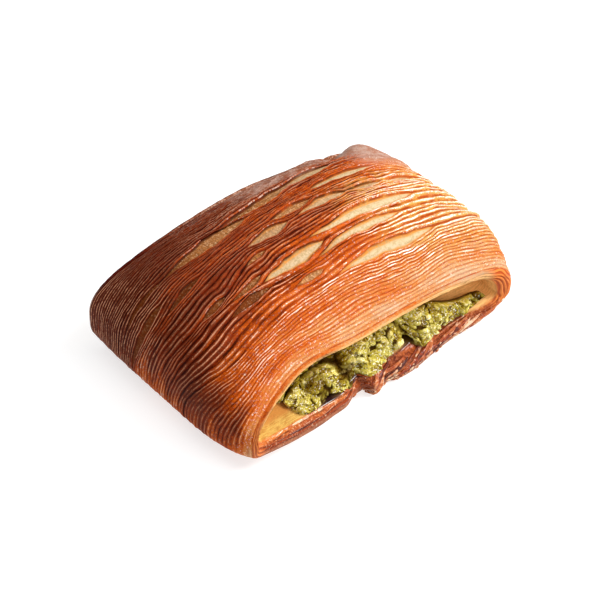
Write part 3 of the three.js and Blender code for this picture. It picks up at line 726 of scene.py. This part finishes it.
skin = in_slit.range(0.05, 0.5).colour(sheet_colour, floor_colour)
skin = rim_place.range(0.0, 0.06).colour(skin, lip_colour)
skin = in_mouth.colour(skin, lining_colour)
skin = oiled.colour(skin, OILY_DARK)
dull = in_slit + in_mouth * (1 - oiled)
wet = oiled * 0.35 + rim_place.range(0.0, 0.1) * (1 - upper_half) * 0.3
roughened = grain * 0.6 + streaks * 0.4
finish_material(paint, {
    "Base Color": skin,
    "Roughness": dull.range(0, 1, 0.5, 0.7) + 0.14 * (grain - 0.5),
    "Coat Weight": (glint * (1 - 0.7 * dark_side) + wet).range(0.0, 1.0) * (1 - dull).range(0, 1),
    "Coat Roughness": 0.12,
    "Specular IOR Level": 0.03,
    "Normal": paint.node("Bump", {}, {"Strength": 1.0, "Distance": 0.5 * MM, "Height": roughened}),
})
dough.data.materials.append(crust)
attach(dough, "root")
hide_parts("dough")

# Torn strands
# Where the wrap was pulled open, layers of the lower lip have torn into glossy strands that lie along it.
# They hang on by one end, curl a little off the lip, and show pale dough at their edges.
STRAND_STEPS, STRAND_SIDES = 16, 8
STRAND_COUNT, ROLL_STRAND_COUNT, NOTCH_STRAND_COUNT, FLAKE_COUNT = 38, 4, 12, 52
# Draws: place along the mouth, run, height on the lip, then drop or wobble, width and lift where they vary
STRAND_LEAST, STRAND_MOST, STRAND_STOP = (4, 7, 0.35, 0.02, 0.5, 0.0), (60, 18, 1.0, 0.6, 1.5, 0.5), -5
ROLL_LEAST, ROLL_MOST, ROLL_STOP, ROLL_FIRST = (-32, 14, -0.06), (-15, 26, 0.06), -53, 0.7
NOTCH_LEAST, NOTCH_MOST = (-13, -6, 0.3, -0.4, 0.5, 0.0), (-2, 6, 1.0, 0.6, 1.4, 0.4)
FLAKE_LEAST, FLAKE_MOST = (-3, 0.8, 0.0, -0.1, 0.4), (58, 2.4, 0.36, 0.1, 0.9)
# The two broad flaps at the tear: start, stop, width, thickness and lift
FLAPS = (((4, 0.9), (-4.5, -0.05), 2.6, 0.6, 0.3), ((1, 1.0), (-5.5, 0.2), 1.6, 0.5, 0.4))
THIN, MIDDLING, THICK = 0.45, 0.5, 0.6
ROLL_WIDTH, ROLL_LIFT, FLAKE_LIFT = 1.0, 0.1, 0.35
OFF_LIP_OUT, OFF_LIP_UP, LIP_CLEARANCE = 0.55, 0.83, 0.1
STRAND_WAVE, STRAND_WAVES, STRAND_CURL, STRAND_BEND = 0.12, 4, 0.7, 0.8
TIP_FROM, TIP_LENGTH, TIP_POWER = 0.04, 0.92, 0.6
LOWER_RISING, LEAST_HEIGHT = -0.02, 0.1
strand_draw = np.random.default_rng(31)


def lip_point(end, facing_x, share):
    """A point of the lower lip: how far along the mouth, and how far from its outer edge to its inner one."""
    lower = np.nonzero(rising < LOWER_RISING)[0]
    edges = []
    for edge_line in (lip_line(end)[lower], mouth_edge(end)[lower]):
        edge_line = edge_line[np.argsort(-end * edge_line[:, 0])]
        edge_x = -end * edge_line[:, 0]
        edges.append(np.stack([np.interp(facing_x, edge_x, axis) for axis in edge_line.T], axis=-1))
    point = mix(*edges, share[:, None])
    point[:, 1] += end * LIP_ROUND * np.sin(math.pi * share)
    return point


def ribbon(path, off_lip, width, thickness):
    """A strip along a path, drawn out to a point at both ends, with its flat side off the lip."""
    forward = unit(np.gradient(path, axis=0))
    sideways = unit(np.cross(forward, off_lip))
    upward = np.cross(sideways, forward)
    taper = np.sin(math.pi * (TIP_FROM + TIP_LENGTH * np.linspace(0, 1, STRAND_STEPS))) ** TIP_POWER
    turn = np.linspace(0, 2 * math.pi, STRAND_SIDES, endpoint=False)[None, :, None]
    body = sideways[:, None] * (np.cos(turn) * width / 2) + upward[:, None] * (np.sin(turn) * thickness / 2)
    return path[:, None] + body * taper[:, None, None]


strands, strand_heights, strand_places = [], [], []


def strand(end, start, stop, width, thickness, lift):
    """Adds a ribbon from one place on the lip to another; places are along the mouth and up the lip."""
    t = np.linspace(0, 1, STRAND_STEPS)
    path = lip_point(end, mix(start[0], stop[0], t), mix(start[1], stop[1], t**STRAND_BEND))
    off_lip = np.array([0, end * OFF_LIP_OUT, OFF_LIP_UP])
    wave = STRAND_WAVE * ripple(t * STRAND_WAVES, start[0], seed=33)
    path = path + off_lip * (lift * np.sin(math.pi * t) ** STRAND_CURL + LIP_CLEARANCE + wave)[:, None]
    strand_heights.append(np.repeat(mix(start[1], stop[1], t), STRAND_SIDES))
    strand_places.append(np.repeat(mix(start[0], stop[0], t), STRAND_SIDES))
    strands.append(ribbon(path, off_lip, width, thickness).reshape(-1, 3))


for end in (-1.0, 1.0):
    for _ in range(STRAND_COUNT):
        x, run, high, low, width, lift = strand_draw.uniform(STRAND_LEAST, STRAND_MOST)
        strand(end, (x, high), (max(x - run, STRAND_STOP), low * high), width, THIN, lift)
    for i in range(ROLL_STRAND_COUNT):
        x, run, wobble = strand_draw.uniform(ROLL_LEAST, ROLL_MOST)
        height = (i + ROLL_FIRST) / ROLL_STRAND_COUNT
        strand(end, (x, height), (max(x - run, ROLL_STOP), height + wobble), ROLL_WIDTH, THICK, ROLL_LIFT)
    for _ in range(NOTCH_STRAND_COUNT):
        x, run, high, drop, width, lift = strand_draw.uniform(NOTCH_LEAST, NOTCH_MOST)
        strand(end, (x, high), (x - run, high - drop), width, MIDDLING, lift)
    for flap in FLAPS:
        strand(end, *flap)
    for _ in range(FLAKE_COUNT):
        x, run, height, wobble, width = strand_draw.uniform(FLAKE_LEAST, FLAKE_MOST)
        strand(end, (x, height), (x - run, height + wobble), width, MIDDLING, FLAKE_LIFT)


def capped_tube(ring_count, ring_size):
    """Faces of a tube of rings, with a cap on each end."""
    last = (ring_count - 1) * ring_size
    sides = grid_faces(ring_count, ring_size, close_rows=False).tolist()
    return [*sides, list(range(ring_size))[::-1], list(range(last, last + ring_size))]


def join(shells):
    """Points and faces of several shells as those of one mesh."""
    joined_faces, shift = [], 0
    for shell_points, shell_faces in shells:
        joined_faces += [[corner + shift for corner in face] for face in shell_faces]
        shift += len(shell_points)
    return np.concatenate([shell_points for shell_points, _ in shells]), joined_faces


def turn_outward(piece):
    """Turns the faces of closed shells outward."""
    shells = bmesh.new()
    shells.from_mesh(piece.data)
    bmesh.ops.recalc_face_normals(shells, faces=shells.faces)
    shells.to_mesh(piece.data)
    shells.free()


strand_faces = capped_tube(STRAND_STEPS, STRAND_SIDES)
strand_points, all_strand_faces = join([(body, strand_faces) for body in strands])
strand_points[:, 2] = np.maximum(strand_points[:, 2], LEAST_HEIGHT)
torn_strands = make_piece("torn_strands", strand_points + PILLOW_SHIFT, all_strand_faces, rounded=True)
turn_outward(torn_strands)

# What the material reads: nearness to a strand's edge, oil from the pesto higher on the lip, and its own tone
OIL_REACH, MORE_OIL, MORE_OIL_AT, MORE_OIL_SPREAD = 0.62, 0.45, 19.0, 10.0
TONE_LEAST, TONE_MOST, FLAKE_TONE, FLAKE_TONE_SPREAD = -0.05, 0.85, 0.6, 0.5
RIGHT_PALER, RIGHT_PALER_ALONG = 0.2, (24.0, 42.0)
sidedness = np.abs(np.cos(np.linspace(0, 2 * math.pi, STRAND_SIDES, endpoint=False)))
give(torn_strands, "side", np.tile(sidedness, len(strands) * STRAND_STEPS))
strand_places = np.concatenate(strand_places)
oil_reach = OIL_REACH + MORE_OIL * bell(strand_places, MORE_OIL_AT, MORE_OIL_SPREAD)
give(torn_strands, "height", np.concatenate(strand_heights) * oil_reach)
strand_tones = strand_draw.uniform(TONE_LEAST, TONE_MOST, (2, len(strands) // 2))
strand_tones[:, -FLAKE_COUNT:] = FLAKE_TONE + FLAKE_TONE_SPREAD * strand_tones[:, -FLAKE_COUNT:]
strand_tones = np.repeat(strand_tones.ravel(), STRAND_STEPS * STRAND_SIDES)
give(torn_strands, "own_tone", strand_tones + RIGHT_PALER * smooth(*RIGHT_PALER_ALONG, strand_places))

STRAND_DEEP, STRAND_RED = (0.065, 0.007, 0.002), (0.25, 0.032, 0.005)
STRAND_ORANGE, STRAND_CREAM = (0.45, 0.120, 0.030), (0.74, 0.52, 0.34)
FIBRES = (500, 500, 900)
torn_layer, tear = new_material("torn_layers")
fibres = tear.noise(tear.node("TexCoord", {}, output=3), FIBRES, 3.0, 0.6)
layer_tone = tear.read("own_tone") + 1.2 * (fibres - 0.5)
layer_colour = layer_tone.ramp((0.15, STRAND_DEEP), (0.40, STRAND_RED), (0.75, STRAND_ORANGE),
                               (1.0, STRAND_CREAM))
pale_edge = tear.read("side").range(0.85, 1.0) * fibres.range(0.42, 0.56)
layer_colour = (pale_edge * 0.5).colour(layer_colour, STRAND_CREAM)
oily = (tear.read("height") + 0.5 * (fibres - 0.5)).range(0.62, 0.95)
layer_colour = (oily * 0.85).colour(layer_colour, OILY_DARK)
finish_material(tear, {
    "Base Color": layer_colour,
    "Roughness": 0.45,
    "Specular IOR Level": 0.08,
    "Coat Weight": 0.4,
    "Coat Roughness": 0.10,
    "Normal": tear.node("Bump", {}, {"Strength": 0.6, "Distance": 0.3 * MM, "Height": fibres}),
})
torn_strands.data.materials.append(torn_layer)
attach(torn_strands, "root")

# Pesto
# Coarsely chopped basil, nuts and hard cheese in oil, spooned along the dough before it is wrapped. It fills
# the channel and slumps out at both mouths in lumps: grains of every size, run together by the oil.
LUMP_RELIEF, LUMP_LENGTH, BIT_SIZE = 1.6, 11.0, 0.10
CHUNK_RELIEF, CHUNK_SPACING, CHUNK_STRETCH, CHUNK_LEAST = 1.3, 3.0, 1.6, 0.5
CRUMB_RELIEF, CRUMB_SPACING, CRUMB_STRETCH, CRUMB_LEAST, CRUMB_VARIES = 0.85, 1.2, 1.8, 0.3, 1.2
CRUMB_TONE, CRUMB_ROUND = 0.65, 0.55
HEAP_LEFT, HEAP_RIGHT, HEAP_COLUMNS, HEAP_ROWS = -35.0, 51.5, 350, 72
HEAP_FRONT_Y, HEAP_TOP_Y, HEAP_TAIL_Y, TAIL_BACK_SPAN = -37.4, -29.0, -34.6, (16.0, 38.0)
HEAP_FOOT_Z, HEAP_CREST_Z, HEAP_TAIL_Z, TAIL_SPAN = 8.8, 21.0, 10.6, (21.0, 49.0)
TAIL_RISE, TAIL_RISE_FROM, LEFT_DIP, LEFT_DIP_SPAN = 1.1, 28.0, 4.6, (-12.0, -18.0)
LEFT_END, RIGHT_END = (-36.0, -28.0), (52.5, 46.5)
FOOT_TORN, FOOT_SLOPE, FOOT_WANDER, FOOT_WANDER_LENGTH = 0.5, 0.4, 0.9, 7.0
BACK_POWER, UP_POWER = 1.3, 0.85
# Bays along the foot, by how far they rise and how far they go in, and gaps between the lumps
BAY_RISES = ((1.8, -21.5, 4.5), (2.4, 12.0, 4.0), (-2.6, 23.5, 4.5))
BAY_DEPTHS = ((2.4, -21.5, 4.5), (3.0, 12.0, 4.0), (-1.8, 23.5, 4.5))
GAPS, GAP_SLANT, GAP_CLOSES = ((2.6, -10.0, 2.6), (2.0, 15.5, 2.6)), 0.35, (1.5, 0.9)
TAIL_SINK, TAIL_SINK_SPAN = 0.3, (30.0, 48.0)
OVERHANG, OVERHANG_AT, OVERHANG_SPREAD, OVERHANG_UP = 2.0, 12.0, 4.5, (0.5, 0.1)
FOOT_FADE, SIDE_FADE = 0.05, 2.0
BEHIND_TOP, BEHIND_FOOT, UNDER_FOOT = (0, 2.5, -0.5), (0, 3.5, 8.4), (0, 1.5, -0.4)
heap_draw = np.random.default_rng(21)


def heap_foot(x):
    return HEAP_FOOT_Z + TAIL_RISE * smooth(TAIL_RISE_FROM, HEAP_RIGHT, x) + humps(x, BAY_RISES)


def heap_line(x):
    """Height of the heap's crest along the mouth, with a low tail to the right."""
    crest = mix(HEAP_CREST_Z, HEAP_TAIL_Z, smooth(*TAIL_SPAN, x)) - LEFT_DIP * smooth(*LEFT_DIP_SPAN, x)
    return heap_foot(x) + (crest - HEAP_FOOT_Z) * smooth(*LEFT_END, x) * smooth(*RIGHT_END, x)


def crumbs(u, v, spacing, longest):
    """Scattered, drawn-out crumbs: how round each place stands on its crumb, and the crumb's own tone."""
    count = int(np.ptp(u) * np.ptp(v) / spacing**2)
    low, high = (u.min(), v.min(), 0, 1, 0), (u.max(), v.max(), math.pi, longest, 1)
    nearest, own_tone = np.full(u.shape, np.inf), np.zeros(u.shape)
    for at_u, at_v, heading, stretch, tone in heap_draw.uniform(low, high, (count, 5)):
        du, dv = u - at_u, v - at_v
        lengthwise = (du * math.cos(heading) + dv * math.sin(heading)) / stretch
        sideways = (dv * math.cos(heading) - du * math.sin(heading)) * math.sqrt(stretch)
        away = np.hypot(lengthwise, sideways) / spacing
        own_tone = np.where(away < nearest, tone, own_tone)
        nearest = np.minimum(nearest, away)
    return np.sqrt(np.maximum(1 - nearest**2, 0)), own_tone


def grains(u, v, seed):
    """Lumps of chunks and crumbs over a surface: their relief, how round they stand, and their tone."""
    chunk, chunk_tone = crumbs(u, v, CHUNK_SPACING, CHUNK_STRETCH)
    crumb, crumb_tone = crumbs(u, v, CRUMB_SPACING, CRUMB_STRETCH)
    relief = LUMP_RELIEF * ripple(u / LUMP_LENGTH, v / LUMP_LENGTH, seed)
    relief = relief + CHUNK_RELIEF * chunk * (CHUNK_LEAST + chunk_tone)
    relief = relief + CRUMB_RELIEF * crumb * (CRUMB_LEAST + CRUMB_VARIES * crumb_tone)
    return relief, mix(chunk, crumb, CRUMB_ROUND), mix(chunk_tone, crumb_tone, CRUMB_TONE)


# The heap in a mouth: a slope of grains up from its foot on the lip, closed behind
along_mouth, up_heap = np.linspace(HEAP_LEFT, HEAP_RIGHT, HEAP_COLUMNS), np.linspace(0, 1, HEAP_ROWS)
across, up = np.meshgrid(along_mouth, up_heap, indexing="ij")
top_y = mix(HEAP_TOP_Y, HEAP_TAIL_Y, smooth(*TAIL_BACK_SPAN, across))
foot_y = HEAP_FRONT_Y + FOOT_TORN * torn_lip(across) + FOOT_SLOPE * lip_slope(across)
foot_y = foot_y + FOOT_WANDER * ripple(across / FOOT_WANDER_LENGTH, 0, seed=23) + humps(across, BAY_DEPTHS)
slope_y = mix(foot_y, top_y, up**BACK_POWER) + SHEAR * across
slope_z = mix(heap_foot(across), heap_line(across), up**UP_POWER)
slope = np.stack([across, slope_y, slope_z], axis=-1)
facing_out = unit(np.cross(np.gradient(slope, axis=1), np.gradient(slope, axis=0)))
facing_out = np.where(facing_out[..., 1:2] > 0, -facing_out, facing_out)
up_slope = up * np.linalg.norm(slope[:, -1] - slope[:, 0], axis=-1)[:, None]
heap_relief, heap_round, heap_tone = grains(across, up_slope, seed=22)
between = humps(across + GAP_SLANT * up_slope, GAPS) * smooth(*GAP_CLOSES, up)
stand_out = heap_relief - between - TAIL_SINK * smooth(*TAIL_SINK_SPAN, across)
stand_out = stand_out - OVERHANG * bell(across, OVERHANG_AT, OVERHANG_SPREAD) * smooth(*OVERHANG_UP, up)
stand_out = stand_out + BIT_SIZE * heap_draw.normal(size=across.shape)
at_sides = smooth(0, SIDE_FADE, across - HEAP_LEFT) * smooth(0, SIDE_FADE, HEAP_RIGHT - across)
front_skin = slope + facing_out * (stand_out * smooth(0, FOOT_FADE, up) * at_sides)[..., None]
behind = [slope[:, -1] + BEHIND_TOP, slope[:, -1] * (1, 1, 0) + BEHIND_FOOT, slope[:, 0] + UNDER_FOOT]
heap = np.concatenate([front_skin, np.stack(behind, axis=1)], axis=1)
heap_ring = heap.shape[1]
heap_points, heap_faces = heap.reshape(-1, 3), capped_tube(HEAP_COLUMNS, heap_ring)

# The core through the channel, its ends just as grainy behind the heaps
CORE_INSET, CORE_END_Y, CORE_END_POWER = 1.25, -25.5, 0.3
CORE_COLUMNS, CORE_END_ROWS, CORE_INNERMOST = 240, 24, 0.02
core_turn = np.linspace(0, 2 * math.pi, CORE_COLUMNS, endpoint=False)
core_rim = channel_edge(core_turn, CORE_INSET)
core_end = mix(core_rim.mean(axis=0), core_rim, np.linspace(CORE_INNERMOST, 1, CORE_END_ROWS)[:, None, None])
end_relief, end_round, end_tone = grains(core_end[..., 0], core_end[..., 2], seed=24)
core_end[..., 1] = CORE_END_Y - end_relief * np.linspace(1, 0, CORE_END_ROWS)[:, None] ** CORE_END_POWER
core_points = np.concatenate([core_end, core_end[::-1] * (1, -1, 1)]).reshape(-1, 3)
core_faces = [face[::-1] for face in capped_tube(2 * CORE_END_ROWS, CORE_COLUMNS)]
pesto_shells = [(core_points, core_faces), (heap_points, heap_faces), (heap_points * (-1, -1, 1), heap_faces)]
pesto_points, pesto_faces = join(pesto_shells)
pesto = make_piece("pesto_mass", pesto_points + PILLOW_SHIFT, pesto_faces, rounded=False)
turn_outward(pesto)


def on_pesto(end_values, front_values, elsewhere):
    """One value for every vertex: both ends of the core, then the heap and its turned copy."""
    behind_values = np.full((HEAP_COLUMNS, heap_ring - HEAP_ROWS), elsewhere)
    heap_values = np.concatenate([front_values, behind_values], axis=1).ravel()
    return np.concatenate([end_values.ravel(), end_values[::-1].ravel(), heap_values, heap_values])


# Tones of the grains, deeper to the left and in the tail, with painted shade in the gaps and on the core's
# ends
LEFT_DEEPER, LEFT_DEEPER_SPAN, TAIL_DEEPER, TAIL_DEEPER_SPAN = 0.11, (-6.0, -20.0), 0.08, (26.0, 38.0)
CORE_END_SHADE_TONE, END_SHADE, GAP_SHADE, GAP_SHADE_FULL = 0.2, 0.76, 0.23, 2.0
BEHIND_TONE, BEHIND_ROUND = 0.5, 0.3
heap_tone = heap_tone - LEFT_DEEPER * smooth(*LEFT_DEEPER_SPAN, across)
heap_tone = heap_tone - TAIL_DEEPER * smooth(*TAIL_DEEPER_SPAN, across)
heap_round = heap_round * (1 - GAP_SHADE * np.clip(between, 0, GAP_SHADE_FULL))
give(pesto, "crumb_tone", on_pesto(end_tone - CORE_END_SHADE_TONE, heap_tone, BEHIND_TONE))
give(pesto, "stand_out", on_pesto(END_SHADE * end_round, heap_round, BEHIND_ROUND))

LEAF_SHADE, LEAF, OLIVE = (0.050, 0.019, 0.001), (0.17, 0.094, 0.002), (0.36, 0.265, 0.014)
LIME, NUT, OIL_GLINT = (0.58, 0.50, 0.080), (0.78, 0.68, 0.28), (0.97, 0.97, 0.86)
CHOPPED, OIL_DROPS = (1700,) * 3, (1500,) * 3
herbs, stir = new_material("oily_pesto")
pesto_spot = stir.node("TexCoord", {}, output=3)
stand = stir.read("stand_out")
chopped = stir.noise(pesto_spot, CHOPPED, 3.0, 0.7)
mash = stir.read("crumb_tone") + (chopped - 0.5)
mash = mash.ramp((0.08, LEAF), (0.35, OLIVE), (0.65, LIME), (0.95, NUT))
# Painted shade: grains that hardly stand out, in the gaps and on the core's ends, turn dark
mash = stand.range(0.74, 0.40, 0.0, 0.97).colour(mash, LEAF_SHADE)
# Painted highlights: oil glints on the grains that stand out most
oil_glint = stir.noise(pesto_spot, OIL_DROPS, 2.0, 0.6).range(0.57, 0.65) * stand.range(0.55, 0.80)
mash = (oil_glint * 0.8).colour(mash, OIL_GLINT)
finish_material(stir, {
    "Base Color": mash,
    "Roughness": chopped.range(0.3, 0.7, 0.35, 0.55),
    "Specular IOR Level": 0.05,
    "Coat Weight": stand.range(0.70, 0.95, 0.0, 0.7),
    "Coat Roughness": 0.12,
    "Normal": stir.node("Bump", {}, {"Strength": 0.8, "Distance": 0.3 * MM, "Height": chopped}),
})
pesto.data.materials.append(herbs)
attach(pesto, "root")
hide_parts("pesto_filling")

# Floor, light and camera
# A pale seamless floor, a soft lamp from the front right, a weaker and softer one from the front, and a
# narrow strip overhead that draws out the glints. The camera looks down from the front left.
FLOOR_SIDE = 6.0
FLOOR_WHITE, FLOOR_GLOW = (0.40, 0.40, 0.40), 0.70
KEY_FROM, KEY_SOFTNESS, KEY_POWER = Vector((0.66, -0.40, 0.63)), math.radians(22), 3.5
FILL_FROM, FILL_SOFTNESS, FILL_POWER = Vector((0.10, -0.85, 0.52)), math.radians(60), 1.15
STRIP_PLACE, STRIP_LENGTH, STRIP_WIDTH, STRIP_POWER = Vector((-0.05, -0.05, 0.95)), 1.3, 0.08, 6.0
SKY = 0.20
VIEW_BACK = Vector((-0.46384, -0.50795, 0.72583))
VIEW_RIGHT = Vector((0.73844, -0.67432, 0.0))
VIEW_UP = Vector((0.48944, 0.53599, 0.68787))
VIEW_TARGET = Vector((-1.22, -0.017, 18.0)) * MM
VIEW_DISTANCE = 1.034
LENS, SENSOR = 178.99, 36.0
SHIFT_X, SHIFT_Y = -0.00747, -0.00945

floor_corners = np.array([(-1, -1, 0), (1, -1, 0), (1, 1, 0), (-1, 1, 0)]) * FLOOR_SIDE / 2 / MM
floor = make_piece("floor", floor_corners, [[0, 1, 2, 3]], rounded=False)
paper, blank = new_material("pale_floor")
finish_material(blank, {"Base Color": (*FLOOR_WHITE, 1), "Roughness": 1.0, "Specular IOR Level": 0.0,
                        "Emission Color": (1, 1, 1, 1), "Emission Strength": FLOOR_GLOW})
floor.data.materials.append(paper)


def lamp(name, kind, lamp_place, settings):
    light = bpy.data.lights.new(name, kind)
    for setting, value in settings.items():
        setattr(light, setting, value)
    holder = bpy.data.objects.new(name, light)
    holder.location = lamp_place
    holder.rotation_euler = (-lamp_place).to_track_quat("-Z", "Y").to_euler()
    bpy.context.scene.collection.objects.link(holder)


lamp("key", "SUN", KEY_FROM, {"energy": KEY_POWER, "angle": KEY_SOFTNESS})
lamp("fill", "SUN", FILL_FROM, {"energy": FILL_POWER, "angle": FILL_SOFTNESS})
lamp("strip", "AREA", STRIP_PLACE,
     {"shape": "RECTANGLE", "size": STRIP_LENGTH, "size_y": STRIP_WIDTH, "energy": STRIP_POWER})
world = bpy.data.worlds.new("studio")
world.use_nodes = True
world.node_tree.nodes["Background"].inputs["Strength"].default_value = SKY
world.node_tree.nodes["Background"].inputs["Color"].default_value = (1, 1, 1, 1)
bpy.context.scene.world = world
bpy.context.scene.view_settings.view_transform = "Standard"

camera = bpy.data.objects.new("camera", bpy.data.cameras.new("camera"))
camera.data.lens, camera.data.sensor_width = LENS, SENSOR
camera.data.shift_x, camera.data.shift_y = SHIFT_X, SHIFT_Y
camera_place = VIEW_TARGET + VIEW_BACK * VIEW_DISTANCE
camera.matrix_world = Matrix([*zip(VIEW_RIGHT, VIEW_UP, VIEW_BACK, camera_place), (0, 0, 0, 1)])
bpy.context.scene.collection.objects.link(camera)
bpy.context.scene.camera = camera

bpy.context.view_layer.update()
